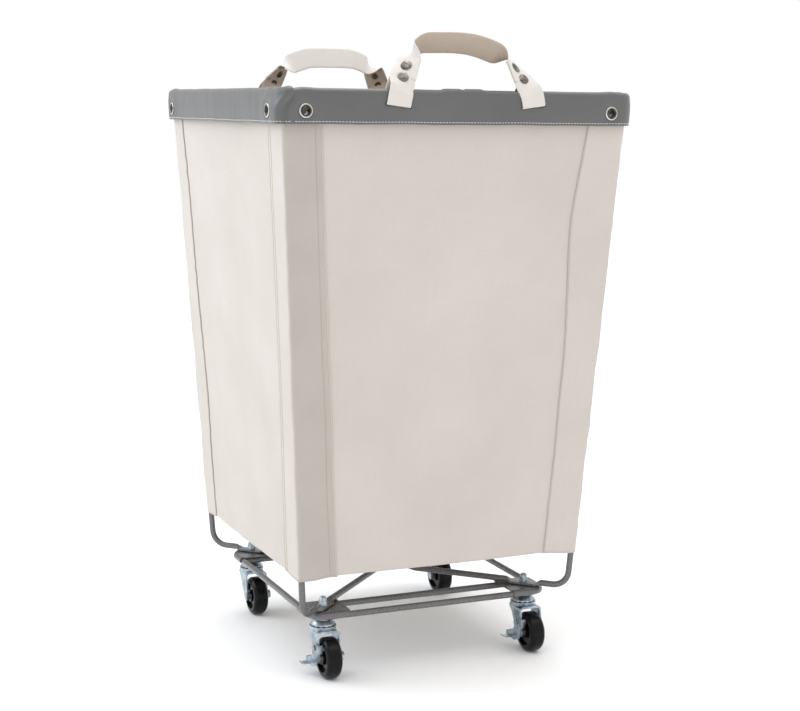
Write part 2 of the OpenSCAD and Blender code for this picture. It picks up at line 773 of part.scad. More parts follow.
// Lever plate beside the fork's left leg, with a front flange, a pedal and a shoe behind the wheel
module brake_lever(c) {
  outer = brake_in + brake_t;
  shoe_y = 8.6;
  shoe_z = [14, 20];
  flange_y = -30;
  flange_z = [33, 44];
  pedal_y = -7;
  pedal_l = 9;
  pedal_w = 9;
  pedal_z = 15;
  color(zinc_colour) at_caster(c) difference() {
    union() {
      translate([-outer, 0, 0]) rotate([90, 0, 90]) linear_extrude(brake_t)
        polygon([[-8.7, 36.5], [-15, 42.5], [-21, 44.5], [flange_y, flange_z[1]],
          [flange_y, flange_z[0]], [-27.5, 26], [-23.4, 17], [-12, 12.5], [-4, 13.2],
          [shoe_y + brake_t, shoe_z[0]], [shoe_y + brake_t, shoe_z[1]], [2, 21], [-2.6, 23.4],
          [-8.5, 27], [-11.2, 31]]);
      translate([-outer, flange_y, flange_z[0]]) cube([6.4, brake_t, flange_z[1] - flange_z[0]]);
      translate([-outer, shoe_y, shoe_z[0]]) cube([outer + 5, brake_t, shoe_z[1] - shoe_z[0]]);
      translate([-outer - pedal_l, pedal_y, pedal_z]) cube([pedal_l + 0.5, pedal_w, brake_t]);
      translate([-outer - pedal_l, pedal_y, pedal_z]) rotate([0, 25, 0])
        translate([-4, 0, 0]) cube([4.2, pedal_w, brake_t]);
    }
    translate([-outer - 1, brake_y, brake_z]) rotate([0, 90, 0])
      cylinder(r = brake_pin_r + run_gap, h = brake_t + 2);
  }
}

module brake_lever_fl() brake_lever(FL);
module brake_lever_fr() brake_lever(FR);

rim_wire();
rim_wire_ferrule();
rim_binding();
front_panel();
back_panel();
left_panel();
right_panel();
bottom_panel();
corner_sleeve_fl();
corner_sleeve_fr();
corner_sleeve_rl();
corner_sleeve_rr();
corner_eyelets();
u_rod_fl_rr();
u_rod_fr_rl();
base_ring();
front_cross_rod();
rear_cross_rod();
corner_plate_fl();
corner_plate_fr();
corner_plate_rl();
corner_plate_rr();
cap_nuts();
caster_stems();
upper_races();
front_handle_loops();
rear_handle_loops();
front_handle_strap();
rear_handle_strap();
front_handle_rivets();
rear_handle_rivets();
fork_fl();
fork_fr();
fork_rl();
fork_rr();
balls_fl();
balls_fr();
balls_rl();
balls_rr();
axle_fl();
axle_fr();
axle_rl();
axle_rr();
wheel_fl();
wheel_fr();
wheel_rl();
wheel_rr();
bush_fl();
bush_fr();
bush_rl();
bush_rr();
brake_rivet_fl();
brake_rivet_fr();
brake_lever_fl();
brake_lever_fr();
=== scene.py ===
"""Canvas laundry hamper on casters: looks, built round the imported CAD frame.

Metres throughout. The front of the hamper is at -Y and +Z is up.
"""

import json
import math

import bpy
import numpy as np
from mathutils import Matrix, Vector, noise


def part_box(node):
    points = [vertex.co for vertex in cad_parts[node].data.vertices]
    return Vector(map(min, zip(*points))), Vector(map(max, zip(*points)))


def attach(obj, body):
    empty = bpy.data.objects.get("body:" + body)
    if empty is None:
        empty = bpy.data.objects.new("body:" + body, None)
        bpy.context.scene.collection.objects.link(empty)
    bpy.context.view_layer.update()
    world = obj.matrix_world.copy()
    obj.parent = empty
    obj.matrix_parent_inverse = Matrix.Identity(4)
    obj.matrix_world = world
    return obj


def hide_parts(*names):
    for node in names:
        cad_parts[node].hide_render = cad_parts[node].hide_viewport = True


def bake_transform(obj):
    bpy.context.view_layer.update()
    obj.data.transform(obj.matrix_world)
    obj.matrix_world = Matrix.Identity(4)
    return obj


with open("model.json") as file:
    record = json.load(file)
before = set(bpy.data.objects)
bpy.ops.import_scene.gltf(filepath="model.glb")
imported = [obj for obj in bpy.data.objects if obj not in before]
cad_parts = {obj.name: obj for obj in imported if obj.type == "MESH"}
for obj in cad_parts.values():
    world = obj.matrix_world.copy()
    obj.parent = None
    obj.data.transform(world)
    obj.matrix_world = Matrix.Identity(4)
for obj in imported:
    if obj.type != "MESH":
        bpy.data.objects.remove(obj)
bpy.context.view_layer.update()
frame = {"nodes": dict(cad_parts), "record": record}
MM = 0.001

# ---------------------------------------------------------------- sizes, in mm
RIM_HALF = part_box("rim_binding")[1].x / MM
RIM_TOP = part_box("rim_binding")[1].z / MM
BAND_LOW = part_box("rim_binding")[0].z / MM
BAG_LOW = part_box("corner_sleeve_fl")[0].z / MM
BAG_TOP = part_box("corner_sleeve_fl")[1].z / MM
BAG_LOW_HALF = 187.5        # half width of the bag at its lower end
BAG_HIGH_HALF = 220.3       # half width of the bag just under the band
TAPER = (BAG_HIGH_HALF - BAG_LOW_HALF) / (BAND_LOW - BAG_LOW)
CANVAS_T = 1.0
WING = 48.0                 # width of a sleeve on each face of the bag
CHANNEL_R = 5.9             # outer radius of the band over the rim wire
BAND_T = 1.2
WIRE_HALF = RIM_HALF - CHANNEL_R
WIRE_Z = RIM_TOP - CHANNEL_R
WIRE_CORNER_R = 14.5
WIRE_RUN = WIRE_HALF - WIRE_CORNER_R    # half length of a straight side of the rim wire
EYELET_X = 195.0
EYELET_Z = RIM_TOP - 25.0
EYELET_CUT = 5.2            # radius of the holes cut for the eyelets
STRAP_W = 30.0
STRAP_T = 1.5
FOLD_Z = RIM_TOP + 4.0      # line about which a handle swings
SLOT_Z = RIM_TOP - 19.2
LOOP_X = 86.5               # middle of a strap at its slot
FOOT_TILT = math.radians(7)
FRONT_SHIFT = 3.0           # how far the front handle sits to the right of the middle

# ---------------------------------------------------------------- camera
CAM_AT = (-0.8287, -1.9494, 0.6892)
CAM_TURN = -0.411217        # heading, radians from +Y
CAM_PITCH = 0.150738        # down
CAM_ROLL = 0.01093
CAM_LENS = 73.67


def make_camera():
    """The photo's camera, from its heading, pitch and roll."""
    c, s = math.cos(CAM_TURN), math.sin(CAM_TURN)
    ahead = Vector((-s * math.cos(CAM_PITCH), c * math.cos(CAM_PITCH), -math.sin(CAM_PITCH)))
    right = Vector((c, s, 0))
    up = right.cross(ahead)
    x = right * math.cos(CAM_ROLL) + up * math.sin(CAM_ROLL)
    y = up * math.cos(CAM_ROLL) - right * math.sin(CAM_ROLL)
    data = bpy.data.cameras.new("camera")
    data.lens = CAM_LENS
    data.sensor_width = 36
    data.clip_end = 60
    cam = bpy.data.objects.new("camera", data)
    bpy.context.scene.collection.objects.link(cam)
    turn = Matrix((x, y, -ahead)).transposed()
    cam.matrix_world = Matrix.Translation(CAM_AT) @ turn.to_4x4()
    bpy.context.scene.camera = cam


make_camera()


# ---------------------------------------------------------------- node helpers
class Nodes:
    """A material's node tree, with short calls for the nodes used here."""

    def __init__(self, name):
        self.material = bpy.data.materials.new(name)
        self.material.use_nodes = True
        self.tree = self.material.node_tree
        self.shader = self.tree.nodes["Principled BSDF"]

    def add(self, kind, **sets):
        """A new node; each named value is a property of it, or an input with _ for a space."""
        node = self.tree.nodes.new(kind)
        for key, value in sets.items():
            if hasattr(node, key):
                setattr(node, key, value)
            else:
                node.inputs[key.replace("_", " ")].default_value = value
        return node

    def link(self, source, target):
        self.tree.links.new(source, target)

    def set(self, **values):
        for key, value in values.items():
            self.shader.inputs[key.replace("_", " ")].default_value = value

    def math(self, operation, a, b=None):
        node = self.add("ShaderNodeMath", operation=operation)
        for k, value in enumerate((a, b)):
            if value is None:
                continue
            if isinstance(value, (int, float)):
                node.inputs[k].default_value = value
            else:
                self.link(value, node.inputs[k])
        return node.outputs[0]

    def coords(self):
        return self.add("ShaderNodeTexCoord").outputs["Object"]

    def cloth(self):
        """Coordinates along the cloth of a made piece, in metres."""
        return self.add("ShaderNodeUVMap", uv_map="cloth").outputs["UV"]

    def scaled(self, vector, scale):
        node = self.add("ShaderNodeMapping", Scale=scale)
        self.link(vector, node.inputs["Vector"])
        return node.outputs[0]

    def noise(self, vector, scale, detail=3.0, roughness=0.55):
        node = self.add("ShaderNodeTexNoise", Scale=scale, Detail=detail, Roughness=roughness)
        self.link(vector, node.inputs["Vector"])
        return node.outputs["Fac"]

    def voronoi(self, vector, scale, feature="F1"):
        node = self.add("ShaderNodeTexVoronoi", feature=feature, Scale=scale)
        self.link(vector, node.inputs["Vector"])
        return node.outputs["Distance"]

    def split(self, vector):
        """The x, y and z of a vector."""
        node = self.add("ShaderNodeSeparateXYZ")
        self.link(vector, node.inputs[0])
        return node.outputs

    def spread(self, value, low, high, out_low, out_high):
        """A value taken from one range to another, and held at its ends."""
        node = self.add("ShaderNodeMapRange", From_Min=low, From_Max=high, To_Min=out_low,
                        To_Max=out_high)
        self.link(value, node.inputs["Value"])
        return node.outputs["Result"]

    def mix(self, fac, a, b):
        node = self.add("ShaderNodeMix", data_type="RGBA")
        for socket, value in zip((node.inputs[0], node.inputs[6], node.inputs[7]), (fac, a, b)):
            if isinstance(value, (int, float)):
                socket.default_value = value
            elif isinstance(value, tuple):
                socket.default_value = (*value, 1)
            else:
                self.link(value, socket)
        return node.outputs[2]

    def bump(self, height, distance, strength=1.0, normal=None):
        node = self.add("ShaderNodeBump", Strength=strength, Distance=distance)
        self.link(height, node.inputs["Height"])
        if normal is not None:
            self.link(normal, node.inputs["Normal"])
        return node.outputs["Normal"]

    def colour(self, source):
        self.link(source, self.shader.inputs["Base Color"])

    def rough(self, source):
        self.link(source, self.shader.inputs["Roughness"])

    def normal(self, source):
        self.link(source, self.shader.inputs["Normal"])


BACK_SHIFT = 4000.0         # added to the first cloth coordinate of a strap's inner face, in mm
SLEEVE_MARK = 2000          # first cloth coordinate at the nose of the first sleeve, in mm
SLEEVE_STEP = 300           # from one sleeve's nose to the next one's
FL_NOSE = SLEEVE_MARK + 3 * SLEEVE_STEP


def weave_height(n, cloth, pitch):
    """Plain weave, from the cloth coordinates in metres: warp over weft, turn about."""
    parts = n.split(cloth)
    turn = math.pi / pitch
    u = n.math("MULTIPLY", parts[0], turn)
    v = n.math("MULTIPLY", parts[1], turn)
    su, sv = n.math("SINE", u), n.math("SINE", v)
    checks = n.math("MULTIPLY", su, sv)
    threads = n.math("MAXIMUM", n.math("ABSOLUTE", su), n.math("ABSOLUTE", sv))
    return n.math("ADD", n.math("MULTIPLY", checks, 0.5), n.math("MULTIPLY", threads, 0.5))


def canvas_material(name, base, tint, pitch=0.00062, fleck=0.35, back=None, painted_shade_strip=None):
    """Cotton duck: plain weave, thick and thin yarns, cotton seed flecks, soft creases.
    A back colour is used on the inner face of a strap, which BACK_SHIFT marks. A painted shade strip,
    (from, to, factor) along the first cloth coordinate in metres, is darkened to stand in for shade,
    broken up by noise."""
    n = Nodes(name)
    cloth = n.cloth()
    warp = n.noise(n.scaled(cloth, (1500, 26, 1)), 1, 2)
    weft = n.noise(n.scaled(cloth, (26, 1500, 1)), 1, 2)
    yarns = n.math("ADD", warp, weft)
    cloud = n.noise(cloth, 7, 3)
    shade = n.mix(n.spread(cloud, 0.35, 0.7, 0, 1), base, tint)
    shade = n.mix(n.spread(yarns, 0.8, 1.2, 0.0, 0.22), shade, tuple(c * 0.86 for c in base))
    seeds = n.voronoi(cloth, 150)
    rare = n.noise(cloth, 60, 2)
    fleck_at = n.math("MULTIPLY", n.spread(seeds, 0.05, 0.11, fleck, 0),
                      n.spread(rare, 0.56, 0.62, 0, 1))
    shade = n.mix(fleck_at, shade, (0.33, 0.25, 0.16))
    across = n.split(cloth)[0]
    # Painted shade: a strip along the first cloth coordinate is darkened to stand in for the shade
    # that falls there.
    if painted_shade_strip:
        low, high, factor = painted_shade_strip
        start = n.spread(across, low, low + 0.004, 0, 1)
        end = n.spread(across, high - 0.004, high, 1, 0)
        shade_breakup = n.spread(n.noise(cloth, 14, 3), 0.3, 0.7, 0.75, 1.0)
        strip = n.math("MULTIPLY", n.math("MULTIPLY", start, end), shade_breakup)
        shade = n.mix(strip, shade, tuple(c * factor for c in base))
    if back:
        inside = n.math("GREATER_THAN", across, BACK_SHIFT * MM / 2)
        rubbed = n.mix(n.spread(yarns, 0.8, 1.2, 0.0, 0.5), back, tuple(c * 0.82 for c in back))
        shade = n.mix(inside, shade, rubbed)
    n.colour(shade)
    n.rough(n.spread(yarns, 0.7, 1.3, 0.82, 0.95))
    n.set(Sheen_Weight=0.12, Sheen_Roughness=0.5, Specular_IOR_Level=0.25)
    weave = n.bump(weave_height(n, cloth, pitch), 0.00016, 0.55)
    slub = n.bump(yarns, 0.00022, 0.5, weave)
    creases = n.bump(n.noise(cloth, 38, 4), 0.0012, 0.3, slub)
    n.normal(creases)
    return n.material


def vinyl_material():
    """Coated vinyl: fine leather-like grain, a few stretch marks, satin sheen."""
    n = Nodes("vinyl_grain")
    cloth = n.cloth()
    cells = n.voronoi(cloth, 900, "SMOOTH_F1")
    fine = n.noise(cloth, 1400, 3)
    cloud = n.noise(cloth, 9, 3)
    shade = n.mix(n.spread(cloud, 0.3, 0.7, 0, 1), (0.088, 0.089, 0.088), (0.104, 0.105, 0.104))
    shade = n.mix(n.spread(cells, 0.1, 0.7, 0.0, 0.25), shade, (0.074, 0.075, 0.074))
    n.colour(shade)
    n.rough(n.spread(fine, 0.3, 0.7, 0.32, 0.44))
    n.set(Specular_IOR_Level=0.6, Sheen_Weight=0.05)
    grain = n.bump(cells, 0.00018, 0.6)
    grain = n.bump(fine, 0.00006, 0.6, grain)
    streaks = n.bump(n.noise(n.scaled(cloth, (60, 9, 1)), 1, 3), 0.0014, 0.35, grain)
    n.normal(streaks)
    return n.material


def powder_material():
    """Powder coat: orange peel, tiny specks, rubbed brighter in scattered patches."""
    n = Nodes("powder_coat_grey")
    at = n.coords()
    peel = n.noise(at, 900, 2)
    broad = n.noise(at, 14, 3)
    specks = n.voronoi(at, 1500)
    shade = n.mix(n.spread(broad, 0.3, 0.7, 0, 1), (0.128, 0.125, 0.126), (0.165, 0.162, 0.163))
    shade = n.mix(n.spread(specks, 0.0, 0.16, 0.35, 0.0), shade, (0.23, 0.23, 0.235))
    scuff = n.noise(n.scaled(at, (70, 70, 22)), 1, 5, 0.7)
    shade = n.mix(n.spread(scuff, 0.68, 0.8, 0, 0.3), shade, (0.26, 0.26, 0.26))
    n.colour(shade)
    n.rough(n.spread(peel, 0.3, 0.7, 0.22, 0.34))
    n.set(Metallic=0.45, Specular_IOR_Level=0.6)
    n.normal(n.bump(peel, 0.00012, 0.5))
    return n.material


def zinc_material():
    """Bright zinc plate: bluish, faintly clouded and tarnished, with rolling lines."""
    n = Nodes("zinc_plate")
    at = n.coords()
    cloud = n.noise(at, 60, 4, 0.65)
    shade = n.mix(n.spread(cloud, 0.35, 0.65, 0, 1), (0.20, 0.255, 0.30), (0.52, 0.585, 0.635))
    tarnish = n.noise(at, 170, 3)
    shade = n.mix(n.spread(tarnish, 0.6, 0.75, 0, 0.3), shade, (0.36, 0.35, 0.31))
    n.colour(shade)
    lines = n.noise(n.scaled(at, (900, 900, 60)), 1, 3)
    n.rough(n.spread(n.math("ADD", cloud, lines), 0.7, 1.3, 0.20, 0.40))
    n.set(Metallic=1.0)
    n.normal(n.bump(lines, 0.00005, 0.5))
    return n.material


def scratched_metal(n, at, cloud, low, high):
    """Bare metal with fine scratches, between two roughnesses."""
    fine = n.noise(n.scaled(at, (2600, 2600, 300)), 1, 3)
    n.rough(n.spread(n.math("ADD", cloud, fine), 0.7, 1.3, low, high))
    n.set(Metallic=1.0)
    n.normal(n.bump(fine, 0.00003, 0.4))


def steel_material(name, dark, light, low, high):
    """Plated or polished steel with a faint cloud and fine scratches."""
    n = Nodes(name)
    at = n.coords()
    cloud = n.noise(at, 220, 3)
    n.colour(n.mix(n.spread(cloud, 0.35, 0.65, 0, 1), dark, light))
    scratched_metal(n, at, cloud, low, high)
    return n.material


def wheel_material():
    """Black hard rubber: glossy, with lighter, duller dusty patches."""
    n = Nodes("black_rubber")
    at = n.coords()
    fine = n.noise(at, 1300, 3)
    dust = n.noise(at, 90, 5, 0.7)
    shade = n.mix(n.spread(dust, 0.5, 0.8, 0, 0.25), (0.004, 0.004, 0.0045), (0.014, 0.0135, 0.013))
    n.colour(shade)
    n.rough(n.spread(dust, 0.35, 0.7, 0.12, 0.24))
    n.set(Specular_IOR_Level=0.17)
    swirl = n.noise(n.scaled(at, (60, 900, 900)), 1, 2)
    n.normal(n.bump(n.math("ADD", fine, swirl), 0.00005, 0.5))
    return n.material


def thread_material(name, base):
    """Twisted cotton thread."""
    n = Nodes(name)
    at = n.coords()
    twist = n.noise(at, 2200, 2)
    n.colour(n.mix(n.spread(twist, 0.3, 0.7, 0, 1), base, tuple(c * 0.78 for c in base)))
    n.rough(n.spread(twist, 0.3, 0.7, 0.7, 0.9))
    n.normal(n.bump(twist, 0.0002, 0.6))
    return n.material


def floor_material():
    """Matt white studio floor, faintly clouded."""
    n = Nodes("studio_floor")
    at = n.coords()
    n.colour(n.mix(n.noise(at, 3, 2), (0.93, 0.93, 0.93), (0.945, 0.945, 0.945)))
    n.rough(n.spread(n.noise(at, 40, 3), 0.3, 0.7, 0.7, 0.8))
    return n.material


DUCK, DUCK_TINT = (0.560, 0.512, 0.468), (0.605, 0.560, 0.517)
CANVAS = canvas_material("natural_canvas", DUCK, DUCK_TINT)
# Canvas with painted shade: the front wing of the front left sleeve is darkened to stand in for the
# shade on it.
CANVAS_SHADED = canvas_material("shaded_canvas", DUCK, DUCK_TINT,
                                painted_shade_strip=((FL_NOSE - 3) * MM, (FL_NOSE + WING) * MM, 0.78))
STRAP = canvas_material("strap_webbing", (0.665, 0.625, 0.590), (0.70, 0.665, 0.632), 0.0008, 0.1,
                        back=(0.53, 0.445, 0.365))
VINYL = vinyl_material()
POWDER = powder_material()
ZINC = zinc_material()
NICKEL = steel_material("nickel_plate", (0.10, 0.092, 0.084), (0.27, 0.252, 0.228), 0.10, 0.22)
BUSH = steel_material("turned_steel", (0.42, 0.42, 0.43), (0.55, 0.55, 0.56), 0.25, 0.4)
BALL = steel_material("polished_steel", (0.55, 0.55, 0.57), (0.65, 0.65, 0.67), 0.06, 0.15)
RUBBER = wheel_material()
WHITE_THREAD = thread_material("white_thread", (0.82, 0.82, 0.80))
TAN_THREAD = thread_material("tan_thread", (0.56, 0.44, 0.31))
FLOOR = floor_material()


# ---------------------------------------------------------------- mesh helpers
def make_piece(name, points, faces, material, body="cart", cloth=None, period=None):
    """A smooth mesh piece from points in mm, with cloth coordinates in mm if it is woven.
    The first coordinate starts again after each period, where the cloth goes round."""
    mesh = bpy.data.meshes.new(name)
    mesh.from_pydata([tuple(p * MM for p in q) for q in points], [], faces)
    mesh.polygons.foreach_set("use_smooth", [True] * len(mesh.polygons))
    if cloth is not None:
        marks = np.asarray(cloth, float)
        layer = mesh.uv_layers.new(name="cloth")
        at = []
        for f in faces:
            u = [marks[i][0] for i in f]
            if period and max(u) - min(u) > period / 2:
                u = [x + period if x < max(u) - period / 2 else x for x in u]
            for x, i in zip(u, f):
                at += (x * MM, marks[i][1] * MM)
        layer.data.foreach_set("uv", at)
    mesh.materials.append(material)
    mesh.update()
    piece = bpy.data.objects.new(name, mesh)
    bpy.context.scene.collection.objects.link(piece)
    if body:
        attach(piece, body)
    return piece


def grid_faces(rows, cols, wrap_cols=False, wrap_rows=False, start=0):
    """Quads of a grid of points, row by row."""
    out = []
    for r in range(rows if wrap_rows else rows - 1):
        for c in range(cols if wrap_cols else cols - 1):
            a, b = r * cols + c, r * cols + (c + 1) % cols
            d, e = ((r + 1) % rows) * cols + c, ((r + 1) % rows) * cols + (c + 1) % cols
            out.append((start + a, start + b, start + e, start + d))
    return out


def grid_normals(points, wrap_cols):
    """Unit normals of a grid of points (rows, cols, 3), from its own slopes."""
    if wrap_cols:
        across = np.roll(points, -1, 1) - np.roll(points, 1, 1)
    else:
        across = np.gradient(points, axis=1)
    along = np.gradient(points, axis=0)
    n = np.cross(across, along)
    size = np.linalg.norm(n, axis=2, keepdims=True)
    return n / np.maximum(size, 1e-9)


def shell(points, thickness, wrap_cols):
    """A closed shell: the grid, a copy of it offset inward, and strips along the open edges."""
    rows, cols = points.shape[:2]
    normals = grid_normals(points, wrap_cols)
    inner = points - normals * thickness
    count = rows * cols
    faces = grid_faces(rows, cols, wrap_cols)
    faces += [tuple(reversed([i + count for i in f])) for f in grid_faces(rows, cols, wrap_cols)]

    def strip(line):
        return [(b, a, a + count, b + count) for a, b in zip(line, line[1:])]
    first = list(range(cols)) + ([0] if wrap_cols else [])
    last = [(rows - 1) * cols + c for c in first]
    faces += strip(first) + strip(list(reversed(last)))
    if not wrap_cols:
        faces += strip([r * cols for r in reversed(range(rows))])
        faces += strip([r * cols + cols - 1 for r in range(rows)])
    return np.concatenate([points.reshape(-1, 3), inner.reshape(-1, 3)]), faces


def ripple(*at):
    """Smooth noise from -1 to 1 at a point."""
    return noise.noise(Vector(at))


def ease(t):
    """From 0 to 1 with level ends."""
    t = min(1.0, max(0.0, t))
    return t * t * (3 - 2 * t)


def turned(side, x, y):
    """A point drawn for the front face (side 0), turned to a side: 1 right, 2 back, 3 left."""
    for _ in range(side):
        x, y = -y, x
    return x, y


def bag_half(z):
    """Half width of the bag at a height."""
    return BAG_LOW_HALF + (z - BAG_LOW) * TAPER


# ---------------------------------------------------------------- bag
def wall_bulge(side, u, z):
    """How far a wall's face stands out of its plane, in mm: pulled in between the rods,
    with broad soft buckles, drag folds from the rim corners and puckers at the seams."""
    half = bag_half(z)
    a = max(-1.0, min(1.0, u / half))
    t = (z - BAG_LOW) / (BAG_TOP - BAG_LOW)
    free = 1 - a ** 8
    out = -2.4 * (1 - a * a) * math.sin(math.pi * min(1, max(0, t))) * free
    out += 1.7 * ripple(side * 7.3 + u / 110, 4.2 + z / 150, side) * free
    out += 0.75 * ripple(side * 3.1 + u / 36, z / 85, 9 + side) * free
    near_top = math.exp(-((1 - t) / 0.22) ** 2)
    for s in (-1, 1):
        d = (u * s - (half - WING - 8)) + (z - BAG_TOP) * 0.55
        out += 0.9 * math.exp(-(d / 15) ** 2) * near_top * free
        seam = u * s - (half - WING)
        beat = math.sin(z / 4.1 + 3 * ripple(z / 60, side, s))
        out += 0.5 * beat * math.exp(-(seam / 9) ** 2) * (0.5 + ripple(z / 45, s * 5, side))
    low = math.exp(-(t / 0.05) ** 2)
    out += 0.8 * low * ripple(u / 30, side, 2)
    return out


ROUND = 27.0                # corner radius of the bag inside its sleeves
WALL_SET = 1.15             # wall face behind the sleeve face
WALL_CELLS = 64             # points along a wall
CORNER_CELLS = 8            # points round a corner
SEAM_RISE = 5.5             # where the walls start to turn under
TURN_R = 3.5                # radius of that turn


def bag_ring(z):
    """One loop round the bag at a height: (side, along the face, out of it, turn round the
    corner, length so far) of each point, and the whole length."""
    half = bag_half(z) - WALL_SET
    run = half - ROUND
    points, length = [], 0.0
    for side in range(4):
        for k in range(WALL_CELLS):
            u = -run + 2 * run * k / WALL_CELLS
            points.append((side, u, -half, 0.0, length + (u + run)))
        length += 2 * run
        for k in range(CORNER_CELLS):
            b = math.pi / 2 * k / CORNER_CELLS
            points.append((side, run + ROUND * math.sin(b), -run - ROUND * math.cos(b), b,
                           length + ROUND * b))
        length += ROUND * math.pi / 2
    return points, length


def build_bag():
    """The walls, the turn under them and the sagging bottom, as one closed shell."""
    rows, cloth = [], []
    for z in np.linspace(BAG_TOP, BAG_LOW + SEAM_RISE, 92):
        ring, length = bag_ring(z)
        line, mark = [], []
        for side, u, v, b, s in ring:
            sag = wall_bulge(side, u, z) * math.cos(b) ** 2 if b < math.pi / 4 else \
                wall_bulge((side + 1) % 4, v, z) * math.sin(b) ** 2
            edge_sag = 3.0 * (1 - (u / bag_half(z)) ** 2) if b == 0 else 0.0
            low = math.exp(-((z - BAG_LOW) / 45) ** 2)
            x, y = turned(side, u + sag * math.sin(b), v - sag * math.cos(b))
            line.append((x, y, z - edge_sag * low * (0.55 if side != 3 else 1.1)))
            mark.append((s - length / 2, z, 0))
        rows.append(line)
        cloth.append(mark)
    # the walls turn under in a tight seam, and the bottom sags between them
    foot, foot_cloth = rows[-1], cloth[-1]
    for k in range(1, 6):
        b = math.pi / 2 * k / 5
        inward = TURN_R * (1 - math.cos(b))
        rows.append([(x - np.sign(x) * (abs(x) / BAG_LOW_HALF) ** 3 * inward,
                      y - np.sign(y) * (abs(y) / BAG_LOW_HALF) ** 3 * inward,
                      z - TURN_R * math.sin(b)) for x, y, z in foot])
        cloth.append([(m[0], m[1] - TURN_R * b, 0) for m in foot_cloth])
    base = rows[-1]
    for k in range(1, 27):
        f = 1 - k / 27
        line = []
        for p in base:
            x, y = p[0] * f, p[1] * f
            r = max(abs(x), abs(y)) / BAG_LOW_HALF
            z = p[2] * f ** 4 + (BAG_LOW + 3) * (1 - f ** 4)
            z += -5.0 * (1 - r * r) + 0.9 * ripple(x / 45, y / 45, 7)
            line.append((x, y, z))
        rows.append(line)
        cloth.append([(x, y, 0) for x, y, _ in line])
    points = np.array(rows, float)
    # rows run downward, so turn them to make the normals point out of the bag
    points = points[::-1]
    marks = np.array(cloth, float)[::-1]
    verts, faces = shell(points, CANVAS_T, True)
    hub = [points[0].mean(0), points[0].mean(0) + (0, 0, CANVAS_T)]
    count, cols = len(verts), points.shape[1]
    half_count = points.shape[0] * cols
    verts = np.concatenate([verts, np.array(hub)])
    # close the middle of the bottom instead of leaving a rim there
    faces = [f for f in faces if not (min(f) < cols and max(f) >= half_count
                                      and all(i % half_count < cols for i in f))]
    for c in range(cols):
        d = (c + 1) % cols
        faces.append((count, d, c))
        faces.append((count + 1, half_count + c, half_count + d))
    marks = np.concatenate([marks.reshape(-1, 3), marks.reshape(-1, 3), np.zeros((2, 3))])
    return verts, faces, marks


def cut_with(piece, cutters):
    """Cuts closed meshes, given as (points, faces) in mm, out of a piece."""
    for points, faces in cutters:
        mesh = bpy.data.meshes.new("cutter")
        mesh.from_pydata([tuple(p * MM for p in q) for q in points], [], faces)
        tool = bpy.data.objects.new("cutter", mesh)
        bpy.context.scene.collection.objects.link(tool)
        cut = piece.modifiers.new("cut", "BOOLEAN")
        cut.operation, cut.object, cut.solver = "DIFFERENCE", tool, "EXACT"
        seen = piece.evaluated_get(bpy.context.evaluated_depsgraph_get())
        cut_mesh = bpy.data.meshes.new_from_object(seen)
        piece.modifiers.clear()
        piece.data = cut_mesh
        bpy.data.objects.remove(tool)


def join_solids(solids):
    """One list of points and faces from several."""
    points, faces = [], []
    for p, f in solids:
        faces += [tuple(i + len(points) for i in q) for q in f]
        points += [tuple(q) for q in p]
    return points, faces


def drum(centre, axis, radius, half_length, sides=32):
    """A closed cylinder along x (0) or y (1)."""
    points = []
    for end in (-half_length, half_length):
        for k in range(sides):
            b = 2 * math.pi * k / sides
            p = [radius * math.cos(b), radius * math.sin(b)]
            p.insert(axis, end)
            points.append([c + q for c, q in zip(centre, p)])
    faces = [(k, (k + 1) % sides, sides + (k + 1) % sides, sides + k) for k in range(sides)]
    faces += [tuple(range(sides))[::-1], tuple(range(sides, 2 * sides))]
    if axis == 1:
        faces = [f[::-1] for f in faces]
    return points, faces


def eyelet_cutters():
    """A cylinder through the rim at each eyelet."""
    out = []
    for side in range(4):
        for s in (-1, 1):
            x, y = turned(side, s * EYELET_X, -RIM_HALF + 6)
            out.append(drum((x, y, EYELET_Z), (side + 1) % 2, EYELET_CUT, 14))
    return join_solids(out)


bag_points, bag_faces, bag_cloth = build_bag()
bag = make_piece("bag_body", bag_points, bag_faces, CANVAS, None, bag_cloth,
                 period=bag_ring(BAG_TOP)[1])
cut_with(bag, [eyelet_cutters()])
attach(bag, "cart")
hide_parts("front_panel", "back_panel", "left_panel", "right_panel", "bottom_panel")


# ---------------------------------------------------------------- sleeves
NOSE_R = 5.2                # outer radius of a sleeve round its rod
HEM_RISE = 2.6              # how much higher a sleeve's lower end is at its sewn edges
CORNERS = {"fl": 3, "fr": 0, "rr": 1, "rl": 2}   # the side whose right-hand corner it is


def wing_wander(corner, wing, z):
    """How far a wing's sewn edge strays from straight, in mm: the cloth gathers in places."""
    t = (z - BAG_LOW) / (BAG_TOP - BAG_LOW)
    out = 1.1 * ripple(corner * 5.5 + wing * 2.7, z / 95, 3)
    if corner == 0 and wing == 0:
        out -= 12.5 * math.exp(-((t - 0.74) / 0.2) ** 2)
    return out


def wing_lift(side, u, w, z):
    """How far a wing stands out with the wall under it, at a distance from the corner."""
    return wall_bulge(side, u, z) * ease((w - 6) / 26)


